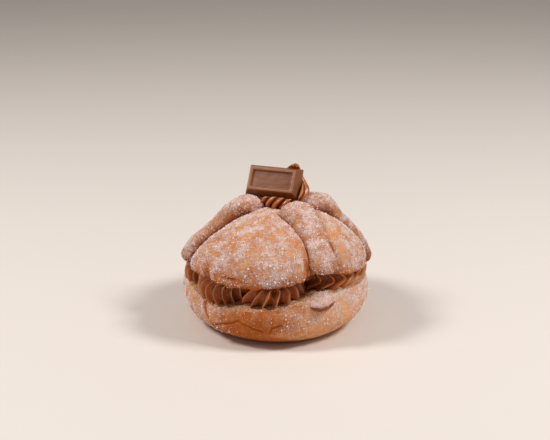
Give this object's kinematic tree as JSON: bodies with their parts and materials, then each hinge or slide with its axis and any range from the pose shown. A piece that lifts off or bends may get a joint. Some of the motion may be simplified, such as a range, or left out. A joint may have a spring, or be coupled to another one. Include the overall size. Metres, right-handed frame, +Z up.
{
  "type": "pan de muerto",
  "caption": "Sugared sweet bun with dough bones over its crown, cut in two round piped chocolate cream, topped with a rosette and a piece of chocolate.",
  "frame": {"origin": "middle of the flat foot that the bun stands on", "axes": "+Z up, -Y towards the viewer of the chocolate piece's moulded face, +X to that viewer's right"},
  "size_m": [0.1117, 0.11, 0.0902],
  "materials": {
    "crust": "baked crust under a coat of sugar grains",
    "bone_crust": "darker baked crust under a denser coat of sugar grains",
    "cream": "smooth piped cream, satin",
    "chocolate": "moulded milk chocolate, faint sheen"
  },
  "bodies": {
    "root": {"bun_base": "crust", "bun_top": "crust", "cream_filling": "cream", "bone_left": "bone_crust", "bone_front": "bone_crust", "bone_right": "bone_crust", "bone_back": "bone_crust", "bone_tip": "bone_crust", "cream_rosette": "cream", "chocolate_piece": "chocolate"}
  },
  "joints": []
}
